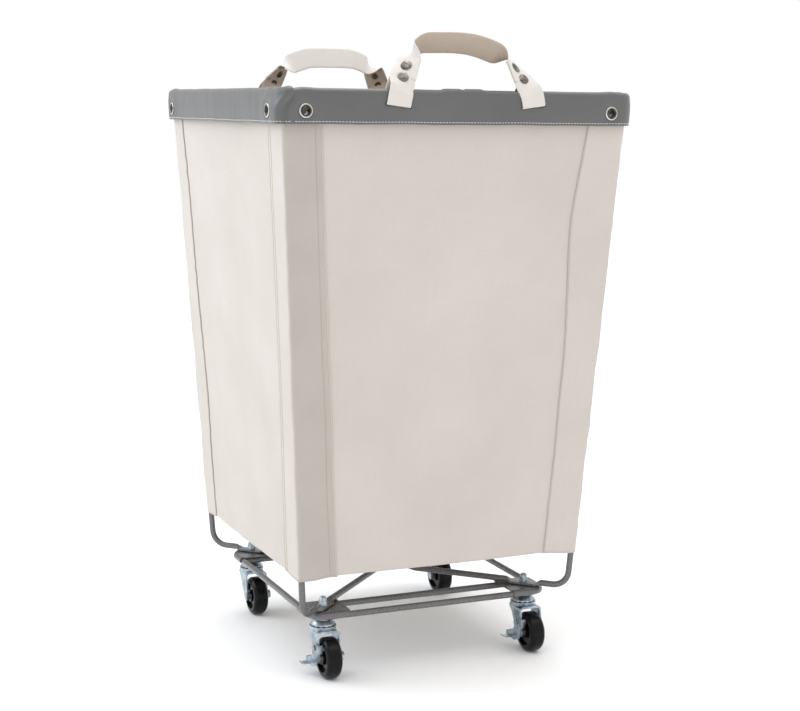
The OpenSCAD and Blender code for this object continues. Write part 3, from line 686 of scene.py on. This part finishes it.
def build_sleeve(corner):
    """A strip folded round the corner rod: a wing on each face and a soft nose between."""
    steps = np.concatenate([np.linspace(-WING, -NOSE_R - 1.5, 17), np.linspace(-NOSE_R, NOSE_R, 9),
                            np.linspace(NOSE_R + 1.5, WING, 17)])
    rows, cloth = [], []
    low = BAG_LOW - 1.2
    for z in np.linspace(low, BAG_TOP - 0.5, 108):
        half = bag_half(max(z, BAG_LOW))
        line, mark = [], []
        slack = 1.3 * ripple(corner, z / 55, 5) + 0.7 * ripple(corner, z / 17, 8)
        for s in steps:
            wing = 0 if s < 0 else 1
            edge = abs(s) / WING
            stray = wing_wander(corner, wing, z) * edge ** 3
            w = abs(s) - stray
            side = corner if wing == 0 else (corner + 1) % 4
            u_here = (half - w) * (1 if wing == 0 else -1)
            lift = wing_lift(side, u_here, w, z)
            lift += 0.22 * math.exp(-((abs(s) - WING) / 2.0) ** 2)
            lift += slack * math.exp(-(w / 16) ** 2)
            if abs(s) <= NOSE_R:
                b = (s / NOSE_R + 1) * math.pi / 4
                x = half - NOSE_R + (NOSE_R + slack) * math.sin(b)
                y = -(half - NOSE_R) - (NOSE_R + slack) * math.cos(b)
            elif wing == 0:
                x, y = half - w, -half - lift
            else:
                x, y = half + lift, -(half - w)
            hem = 1.4 * ripple(corner * 3 + s / 22, 1, 4) + HEM_RISE * ease((edge - 0.25) / 0.75)
            hem *= math.exp(-((z - low) / 14) ** 2)
            x, y = turned(corner, x, y)
            line.append((x, y, z + hem))
            mark.append((s + corner * SLEEVE_STEP + SLEEVE_MARK, z, 0))
        rows.append(line)
        cloth.append(mark)
    points = np.array(rows, float)
    verts, faces = shell(points, CANVAS_T * 0.9, False)
    marks = np.array(cloth, float).reshape(-1, 3)
    return verts, faces, np.concatenate([marks, marks])


def seam_line(corner, wing, inset, count):
    """Points and outward directions along a wing's sewn edge, inset from it."""
    out = []
    for z in np.linspace(BAG_LOW + 2.5, BAND_LOW + 1, count):
        half = bag_half(z)
        w = WING - inset - wing_wander(corner, wing, z)
        side = corner if wing == 0 else (corner + 1) % 4
        u = (half - w) * (1 if wing == 0 else -1)
        lift = wing_lift(side, u, w, z) + 0.05
        x, y = turned(side, u, -half - lift)
        nx, ny = turned(side, 0, -1)
        out.append((np.array((x, y, z)), np.array((nx, ny, 0.0))))
    return out


def stitch_row(line, pitch, length, width, height):
    """Separate thread stitches along a line of (point, outward direction)."""
    points = np.array([p for p, _ in line])
    normals = np.array([n for _, n in line])
    steps = np.linalg.norm(np.diff(points, axis=0), axis=1)
    along = np.concatenate([[0], np.cumsum(steps)])
    solids = []
    shape = ((-0.5, 0.25), (-0.36, 0.85), (0.0, 1.0), (0.36, 0.85), (0.5, 0.25))
    for start in np.arange(pitch / 2, along[-1] - pitch / 2, pitch):
        rings = []
        for where, fat in shape:
            at = start + where * length
            p = np.array([np.interp(at, along, points[:, k]) for k in range(3)])
            n = np.array([np.interp(at, along, normals[:, k]) for k in range(3)])
            q = np.array([np.interp(at + 0.3, along, points[:, k]) for k in range(3)])
            t = (q - p) / max(1e-9, np.linalg.norm(q - p))
            side = np.cross(n, t)
            for k in range(5):
                b = 2 * math.pi * k / 5
                rings.append(p + side * width / 2 * fat * math.cos(b)
                             + n * (height * fat * math.sin(b) + height * 0.35 * fat))
        faces = grid_faces(5, 5, wrap_cols=True)
        faces += [tuple(range(5))[::-1], tuple(range(20, 25))]
        solids.append((rings, faces))
    return solids


for key, corner in CORNERS.items():
    points, faces, cloth = build_sleeve(corner)
    # The front left sleeve takes the canvas with painted shade on its front wing.
    material = CANVAS_SHADED if key == "fl" else CANVAS
    sleeve = make_piece("sleeve_" + key, points, faces, material, None, cloth)
    cut_with(sleeve, [eyelet_cutters()])
    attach(sleeve, "cart")
    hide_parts("corner_sleeve_" + key)
    solids = []
    for wing in (0, 1):
        for inset in ((2.2, 8.6) if key == "fl" else (1.2,)):
            solids += stitch_row(seam_line(corner, wing, inset, 180), 3.4, 2.9, 0.8, 0.34)
    points, faces = join_solids(solids)
    make_piece("seam_stitches_" + key, points, faces, TAN_THREAD, "cart")


# ---------------------------------------------------------------- band round the rim
def band_path():
    """Stations round the rim wire: (side, u along the face, turn round the corner, length)."""
    out, length = [], 0.0
    for side in range(4):
        cells = list(np.linspace(-WIRE_RUN, WIRE_RUN, 132, endpoint=False))
        # closer together beside the corner where the band's ends overlap
        if side in (0, 3):
            start = -WIRE_RUN if side == 0 else WIRE_RUN - 16
            fine = np.linspace(start, start + 16, 16, endpoint=False)
            cells = sorted(set(list(fine) + [c for c in cells if abs(c - fine.mean()) > 9]))
        for u in cells:
            out.append((side, u, 0.0, length + u + WIRE_RUN))
        length += 2 * WIRE_RUN
        turns = 14 if side == 3 else 8
        for k in range(turns):
            b = math.pi / 2 * k / turns
            out.append((side, WIRE_RUN, b, length + b * (WIRE_CORNER_R + CHANNEL_R)))
        length += math.pi / 2 * (WIRE_CORNER_R + CHANNEL_R)
    return out, length


INNER_CORNER = 4.6          # how far the inner leaf passes inside the corner rods, in mm


def band_puff(side, u, z, outer):
    """How far the band's surface stands out, and how far its top is lifted, in mm."""
    corner_gap = WIRE_HALF - abs(u)
    fall = (RIM_TOP - z) / (RIM_TOP - BAND_LOW)
    out = 0.45 * ripple(side * 9 + u / 60, z / 40, 2) + 0.2 * ripple(side * 9 + u / 17, z / 25, 6)
    out -= 0.9 * ease((fall - 0.55) / 0.45) * (1 if outer else 0.3)
    r = math.hypot(abs(u) - EYELET_X, z - EYELET_Z)
    out += 0.9 * math.exp(-((r - 15) / 6) ** 2) - 0.55 * math.exp(-(r / 10) ** 2)
    lift = 0.35 * ripple(side * 4 + u / 45, 3, 1)
    lift += 1.1 * math.exp(-((abs(u) - EYELET_X) / 11) ** 2)
    lift += 1.2 * math.exp(-(corner_gap / 13) ** 2)
    lift -= 0.8 * math.exp(-((corner_gap - 14) / 5) ** 2)
    # two bumps over the sleeve that joins the rim wire
    if side == 0:
        for mid in (-14.5, 13):
            lift += 1.5 * ease((14.5 - abs(u - mid)) / 5)
            out += 0.35 * ease((13 - abs(u - mid)) / 5) * ease((z - 690) / 8)
    return out, lift


def hem_wave(side, u):
    """How far the band's lower edge strays from straight, in mm."""
    return 0.7 * ripple(side * 6 + u / 50, 8, 2)


def overlap_step(side, u, b, z):
    """The band's ends overlap at the front left corner: a ridge, then a sharp step down,
    which runs towards the front where it goes over the top."""
    if side != 3:
        return 0.0
    g = b * WIRE_CORNER_R + u - WIRE_RUN
    edge = 13.0 + 8.0 * ease((z - (RIM_TOP - 24)) / 20)
    ridge = 1.8 * math.exp(-((g - edge + 3.4) / 2.6) ** 2)
    crease = 1.6 * math.exp(-((g - edge - 2.4) / 1.7) ** 2)
    return 3.0 * ease((g - edge + 20) / 18) * (1 - ease((g - edge) / 1.4)) + ridge - crease


def build_band():
    """The band folded over the wire: its outer surface, then its inner one back again."""
    path, _ = band_path()
    rows, marks = [], []
    # heights of the outer leaf going up, then angles over the wire, then the inner leaf down
    leaf = list(np.linspace(BAND_LOW, WIRE_Z, 15))
    arc = list(np.linspace(0, math.pi, 15))[1:-1]
    for radius, flip in ((CHANNEL_R, False), (CHANNEL_R - BAND_T, True)):
        profile = [("out", z) for z in leaf] + [("arc", a) for a in arc] \
            + [("in", z) for z in reversed(leaf)]
        if flip:
            profile = profile[::-1]
        for kind, value in profile:
            row, mark = [], []
            for side, u, b, s in path:
                if kind == "arc":
                    off, z = radius * math.cos(value), WIRE_Z + radius * math.sin(value)
                    v = radius * value
                else:
                    off, z = (radius if kind == "out" else -radius), value
                    v = value - WIRE_Z if kind == "out" else -(value - WIRE_Z) + math.pi * radius
                puff, lift = band_puff(side, u, min(z, WIRE_Z + 2), off > 0)
                rise = ease((z - (WIRE_Z - 4)) / 9)
                near = off / radius
                overlap = overlap_step(side, u, b, z)
                off_now = off + puff * near + overlap * max(0.0, near)
                drop = hem_wave(side, u) * ease((BAND_LOW + 6 - z) / 6)
                z_now = z + lift * rise + overlap * 0.5 * rise + drop * (1 if off > 0 else 0.4)
                if off < 0:
                    corner = ease(1 - (WIRE_RUN - abs(u)) / 26) if b == 0 else 1.0
                    off_now -= INNER_CORNER * corner * ease((WIRE_Z - 1 - z) / 5)
                reach = WIRE_CORNER_R + off_now
                x, y = turned(side, u + reach * math.sin(b), -WIRE_RUN - reach * math.cos(b))
                row.append((x, y, z_now))
                mark.append((s, v, 0))
            rows.append(row)
            marks.append(mark)
    points = np.array(rows, float)
    faces = grid_faces(len(rows), len(path), wrap_cols=True, wrap_rows=True)
    return points.reshape(-1, 3), faces, np.array(marks, float).reshape(-1, 3), path


def slot_cutters():
    """Slots where the handle straps go in, tilted as the straps lean."""
    out = []
    for rear in (0, 1):
        for s in (-1, 1):
            shift = 0 if rear else FRONT_SHIFT
            tilt = FOOT_TILT * s
            corners = []
            for dy in (-16, 16):
                for dx, dz in ((-1, -1), (1, -1), (1, 1), (-1, 1)):
                    a, c = dx * (STRAP_W / 2 + 1.0), dz * 1.3
                    corners.append((a * math.cos(tilt) - c * math.sin(tilt), dy,
                                    a * math.sin(tilt) + c * math.cos(tilt)))
            points = []
            for x, y, z in corners:
                px, py = s * LOOP_X + x + shift, y - WIRE_HALF
                if rear:
                    px, py = -px, -py
                points.append((px, py, z + SLOT_Z + 0.7))
            faces = [(0, 1, 2, 3), (7, 6, 5, 4)]
            faces += [(k, k + 4, (k + 1) % 4 + 4, (k + 1) % 4) for k in range(4)]
            out.append((points, faces))
    return join_solids(out)


band_points, band_faces, band_cloth, band_stations = build_band()
band = make_piece("rim_band", band_points, band_faces, VINYL, None, band_cloth,
                  period=8 * WIRE_HALF)
cut_with(band, [eyelet_cutters(), slot_cutters()])
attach(band, "cart")
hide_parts("rim_binding")


def band_line(height, outer):
    """Points and outward directions along the band, for its running stitch."""
    out = []
    for side, u, b, _ in band_stations + band_stations[:1]:
        puff, _ = band_puff(side, u, height, outer)
        off = CHANNEL_R + puff + (overlap_step(side, u, b, height) if outer else 0)
        drop = hem_wave(side, u) * (0.6 if outer else 0.25)
        reach = WIRE_CORNER_R + (off if outer else -off)
        x, y = turned(side, u + reach * math.sin(b), -WIRE_RUN - reach * math.cos(b))
        nx, ny = turned(side, math.sin(b), -math.cos(b))
        sign = 1 if outer else -1
        out.append((np.array((x, y, height + drop)), np.array((nx * sign, ny * sign, 0.0))))
    return out


for tag, outer in (("outside", True), ("inside", False)):
    solids = stitch_row(band_line(BAND_LOW + 2.6, outer), 4.0, 3.0, 0.75, 0.36)
    points, faces = join_solids(solids)
    make_piece("band_stitches_" + tag, points, faces, WHITE_THREAD, "cart")


# ---------------------------------------------------------------- handles
FOOT_X = 82.0               # middle of a leg at its lower end, FOOT_U above the fold line
FOOT_U = 0.4
LEG_LEAN = 27.0             # how far the legs lean together, in degrees
LEG_TWIST = 40.0            # how far a leg has turned LEG_TWIST_U higher up, in degrees
LEG_TWIST_U = 30.0
TWIST_PACE = 2.3            # how early in the bend a strap has turned its edge


def leg_row(u):
    """A place up a leg: (x, height, slope, twist), as every row of a strap."""
    return (FOOT_X - (u - FOOT_U) * math.tan(math.radians(LEG_LEAN)), u, 90 - LEG_LEAN,
            LEG_TWIST * min(1.0, max(0.0, (u - FOOT_U) / LEG_TWIST_U)))


def grip_rows(grip_u, start_u, flat, twist):
    """The bend from a leg into the grip; most of the twist is at its lower end."""
    start = leg_row(start_u)
    lean = math.radians(LEG_LEAN)
    flat_x, pull = flat
    rise = pull * (grip_u - start_u)
    ends = [np.array(p) for p in (
        (start[0], start_u), (start[0] - rise * math.tan(lean), start_u + rise),
        (flat_x + pull * (start[0] - flat_x), grip_u), (flat_x, grip_u))]
    out = []
    for k in range(21):
        t = k / 20
        x, u = (1 - t) ** 3 * ends[0] + 3 * t * (1 - t) ** 2 * ends[1] \
            + 3 * t * t * (1 - t) * ends[2] + t ** 3 * ends[3]
        dx, du = (1 - t) ** 2 * (ends[1] - ends[0]) + 2 * t * (1 - t) * (ends[2] - ends[1]) \
            + t * t * (ends[3] - ends[2])
        out.append((x, u, math.degrees(math.atan2(du, -dx)),
                    start[3] + (twist - start[3]) * ease(TWIST_PACE * t)))
    return out


def row_frame(row):
    """Middle of a strap and direction out of its outer face."""
    x, u = row[:2]
    slope, twist = (math.radians(a) for a in row[2:])
    out = np.array((math.sin(twist) * math.sin(slope), -math.cos(twist),
                    math.sin(twist) * math.cos(slope)))
    return np.array((x, 0.0, u)), out


def placed(point, rear, lean, free=False):
    """From the handle's own upright frame to the row frame; free is for directions."""
    a = math.radians(-lean)
    x, y, z = point
    y, z = y * math.cos(a) - z * math.sin(a), y * math.sin(a) + z * math.cos(a)
    if not free:
        x += 0.0 if rear else FRONT_SHIFT
        y -= WIRE_HALF
        z += FOLD_Z
    if rear:
        x, y = -x, -y
    return np.array((x, y, z))


JOIN_U = 9.0                # where the two layers of a foot have come together
# Each layer from inside its slot up towards the leg: distance from the rim wire, height over
# the slot and angle of the strap from upright
OUTER_FOOT = ((2.5, 0.75, 90), (6.2, 0.75, 88), (7.1, 1.2, 45), (7.4, 2.3, 5), (7.4, 7, 0),
              (7.25, 12, -5), (6.6, 16.5, -22), (3.2, 22.5, -33))
INNER_FOOT = ((2.5, 0.75, 90), (6.2, 0.75, 88), (7.1, 1.2, 45), (7.4, 2.3, 5), (7.4, 7, 0),
              (7.1, 15, 2), (6.2, 23, 2))


def foot_rows(mirror, rear, outer):
    """One layer of a foot, as (middle, direction out of its outer face)."""
    sign = 1 if outer else -1
    rise = FOLD_Z - SLOT_Z + JOIN_U * 0.88
    bow = LOOP_X - leg_row(JOIN_U)[0] - rise * math.tan(FOOT_TILT)
    rows = []
    for off, z, bend in OUTER_FOOT if outer else INNER_FOOT:
        tilt = math.atan(math.tan(FOOT_TILT) + 2 * bow * z / rise ** 2)
        up = np.array((-math.sin(tilt), 0.0, math.cos(tilt)))
        front = np.array((0.0, -1.0, 0.0))
        b = math.radians(bend)
        out = front * math.cos(b) - up * sign * math.sin(b)
        mid = np.array((LOOP_X - z * math.tan(FOOT_TILT) - bow * (z / rise) ** 2, -sign * off, z))
        if mirror:
            mid, out = mid * (-1, 1, 1), out * (-1, 1, 1)
        mid = mid + (0.0 if rear else FRONT_SHIFT, -WIRE_HALF, SLOT_Z)
        if rear:
            mid, out = mid * (-1, -1, 1), out * (-1, -1, 1)
        rows.append((mid, out))
    return rows


def strap_rows(rear, mirror, shape, outer):
    """Half of a strap, from the slot to the middle of the grip, or to the end of its tail."""
    lean, grip_u, tail_u, flats, grip_twist, arch = shape
    rows = foot_rows(mirror, rear, outer)
    start_u = tail_u + 0.6
    bend = grip_rows(grip_u, start_u, flats[0 if mirror else 1], grip_twist)
    if outer:
        own = [leg_row(u) for u in np.arange(JOIN_U, start_u - 1, 2.5)] + bend
        own += [(x, grip_u + arch * (1 - (x / bend[-1][0]) ** 2), 0.0, grip_twist)
                for x in np.linspace(bend[-1][0] * 0.85, 0, 8)]
    else:
        own = [leg_row(u) for u in np.linspace(JOIN_U, tail_u, 10)]
    for row in own:
        mid, out = row_frame(row)
        mid = mid + out * (STRAP_T / 2 if outer else -STRAP_T / 2)
        if outer:
            waver = ripple(row[0] / 22, 3 * rear, 4 + mirror)
            mid = mid + out * 0.5 * waver * ease((row[1] - 36) / 8)
        if mirror:
            mid, out = mid * (-1, 1, 1), out * (-1, 1, 1)
        rows.append((placed(mid, rear, lean), placed(out, rear, lean, True)))
    return rows


def resampled(rows, step):
    """Even steps along a smooth curve through the rows: (middle, across, out, length)."""
    mids = np.array([r[0] for r in rows])
    alongs = np.concatenate([[0], np.cumsum(np.linalg.norm(np.diff(mids, axis=0), axis=1))])
    marks = np.linspace(0, alongs[-1], max(8, int(alongs[-1] / step)))
    line, outs = [], []
    for m in marks:
        k = min(len(rows) - 2, max(0, int(np.searchsorted(alongs, m)) - 1))
        t = (m - alongs[k]) / max(1e-9, alongs[k + 1] - alongs[k])
        p = [mids[i] for i in (max(0, k - 1), k, k + 1, min(len(rows) - 1, k + 2))]
        line.append(0.5 * (2 * p[1] + (p[2] - p[0]) * t
                           + (2 * p[0] - 5 * p[1] + 4 * p[2] - p[3]) * t * t
                           + (3 * p[1] - p[0] - 3 * p[2] + p[3]) * t ** 3))
        outs.append(rows[k][1] * (1 - t) + rows[k + 1][1] * t)
    line = np.array(line)
    slopes = np.gradient(line, axis=0)
    result = []
    for mid, slope, out, m in zip(line, slopes, outs, marks):
        slope = slope / np.linalg.norm(slope)
        out = out - slope * np.dot(out, slope)
        out = out / np.linalg.norm(out)
        result.append((mid, np.cross(slope, out), out, m))
    return result


def strap_mesh(rows, seed):
    """A flat strap with rounded edges swept along rows, closed at both ends."""
    half, thick = STRAP_W / 2, STRAP_T * 0.48
    flat = np.linspace(-1, 1, 13) * (half - 0.7)
    side = [(half - 0.2, thick * 0.68), (half, 0), (half - 0.2, -thick * 0.68)]
    section = [(f, thick) for f in flat] + side + [(f, -thick) for f in flat[::-1]]
    section += [(-a, -o) for a, o in side]
    points, marks = [], []
    for mid, across, out, m in rows:
        wide = 1 + 0.012 * ripple(m / 9, seed, 1)
        for a, o in section:
            points.append(mid + across * a * wide + out * o)
            marks.append((a + seed * 70 + (BACK_SHIFT if o < 0 else 0), m, 0))
    cols = len(section)
    faces = grid_faces(len(rows), cols, wrap_cols=True)
    faces += [tuple(range(cols))[::-1], tuple(range((len(rows) - 1) * cols, len(rows) * cols))]
    return points, faces, marks


def build_handle(end, rear, shape, seed):
    """One long strap up the left leg, along the grip and down the right leg, and two tails."""
    left, right = [strap_rows(rear, m, shape, True) for m in (True, False)]
    tails = [strap_rows(rear, m, shape, False) for m in (True, False)]
    solids, marks, length = [], [], 0.0
    for rows in (left + right[-2::-1], *tails):
        even = resampled(rows, 1.5)
        length += even[-1][3]
        points, faces, own = strap_mesh(even, seed + len(solids))
        solids.append((points, faces))
        marks += own
    points, faces = join_solids(solids)
    piece = make_piece(end + "_handle_webbing", points, faces, STRAP, None, marks)
    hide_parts(end + "_handle_loops", end + "_handle_strap")
    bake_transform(piece)


# Lean, height of the grip, end of the tails, (half length, roundness) of the flat at each end,
# twist and arch of the grip
build_handle("front", False, (28.0, 56.0, 34.0, ((36.0, 0.42), (12.0, 0.25)), 113.0, 0.8), 1)
build_handle("rear", True, (24.0, 45.0, 29.0, ((30.0, 0.17), (30.0, 0.17)), 128.0, 0.5), 5)


# ---------------------------------------------------------------- eyelets
# Outline of a set eyelet: distance from its axis and depth from the face of the band
ROLLED = ((5.0, 0.6), (6.9, 0.3), (8.1, 0.0), (8.35, 0.45), (8.1, 0.95), (7.5, 1.3), (6.8, 1.35),
          (6.2, 1.1), (5.6, 0.4), (5.15, -0.7), (4.8, -2.2), (4.55, -4.0))


def eyelet_mesh(side, s):
    """A tube through the band with a rolled edge and a funnel at each end."""
    depth = 2 * CHANNEL_R
    line = [(r, d) for r, d in ROLLED] + [(r, -depth - d) for r, d in reversed(ROLLED)]
    points, marks = [], []
    count = 36
    for r, d in line:
        for k in range(count):
            b = 2 * math.pi * k / count
            x, y = turned(side, s * EYELET_X + r * math.cos(b), -RIM_HALF - d)
            points.append((x, y, EYELET_Z + r * math.sin(b)))
            marks.append((r, d, 0))
    return points, grid_faces(len(line), count, wrap_cols=True, wrap_rows=True), marks


def eyelet_material():
    """Nickel plate on the rolled edge; down the funnel the colour is painted dark brown as shade."""
    n = Nodes("nickel_eyelet")
    radius = n.split(n.cloth())[0]
    at = n.coords()
    cloud = n.noise(at, 300, 3)
    bright = n.mix(n.spread(cloud, 0.35, 0.65, 0, 1), (0.46, 0.44, 0.41), (0.66, 0.64, 0.61))
    # Painted shade: the funnel's colour is darkened to stand in for the shade inside the hole.
    funnel_painted_shade = n.mix(n.spread(cloud, 0.35, 0.65, 0, 1), (0.035, 0.028, 0.024), (0.085, 0.070, 0.060))
    n.colour(n.mix(n.spread(radius, 0.0062, 0.0070, 0, 1), funnel_painted_shade, bright))
    scratched_metal(n, at, cloud, 0.10, 0.24)
    return n.material


eyelet_marks, eyelet_solids = [], []
for side in range(4):
    for s in (-1, 1):
        points, faces, own = eyelet_mesh(side, s)
        eyelet_solids.append((points, faces))
        eyelet_marks += own
points, faces = join_solids(eyelet_solids)
eyelets = make_piece("eyelets", points, faces, eyelet_material(), "cart", eyelet_marks)
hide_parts("corner_eyelets")


# ---------------------------------------------------------------- CAD pieces' finishes
FINISH = {"powder_coat": POWDER, "zinc": ZINC, "nickel": NICKEL, "wheel": RUBBER, "bush": BUSH,
          "ball_steel": BALL, "canvas": CANVAS, "strap": STRAP, "vinyl": VINYL}
slots = {s["node"]: s["material_slot"] for s in frame["record"]["subparts"]}
for node, obj in frame["nodes"].items():
    finish = FINISH[slots[node]]
    if not obj.data.materials:
        obj.data.materials.append(finish)
    for k in range(len(obj.data.materials)):
        obj.data.materials[k] = finish


# ---------------------------------------------------------------- stage and light
def add_floor():
    reach = 14.0            # metres from the middle to each edge
    mesh = bpy.data.meshes.new("floor")
    mesh.from_pydata([(-reach, -reach, 0), (reach, -reach, 0), (reach, reach, 0), (-reach, reach, 0)],
                     [], [(0, 1, 2, 3)])
    mesh.materials.append(FLOOR)
    floor = bpy.data.objects.new("floor", mesh)
    bpy.context.scene.collection.objects.link(floor)


def add_light(name, at, aim, size, power, colour=(1, 1, 1)):
    data = bpy.data.lights.new(name, "AREA")
    data.shape = "RECTANGLE"
    data.size, data.size_y = size
    data.energy = power
    data.color = colour
    lamp = bpy.data.objects.new(name, data)
    bpy.context.scene.collection.objects.link(lamp)
    lamp.location = at
    lamp.rotation_mode = "QUATERNION"
    lamp.rotation_quaternion = (Vector(aim) - Vector(at)).to_track_quat("-Z", "Y")


def add_sun(strength, spread):
    data = bpy.data.lights.new("sky", "SUN")
    data.energy = strength
    data.angle = math.radians(spread)
    lamp = bpy.data.objects.new("sky", data)
    bpy.context.scene.collection.objects.link(lamp)
    lamp.location = (0, 0, 4)


add_floor()
add_light("key", (-2.7, 1.3, 2.1), (0, 0, 0.45), (2.2, 2.2), 38, (0.78, 0.89, 1.0))
add_light("top", (0.5, 0.7, 3.0), (0, 0, 0.4), (1.6, 1.6), 16)
add_sun(1.0, 75)
world = bpy.data.worlds.new("studio")
world.use_nodes = True
world.node_tree.nodes["Background"].inputs["Color"].default_value = (1, 1, 1, 1)
world.node_tree.nodes["Background"].inputs["Strength"].default_value = 1.0
bpy.context.scene.world = world
bpy.context.scene.view_settings.view_transform = "Standard"
bpy.context.scene.view_settings.look = "None"
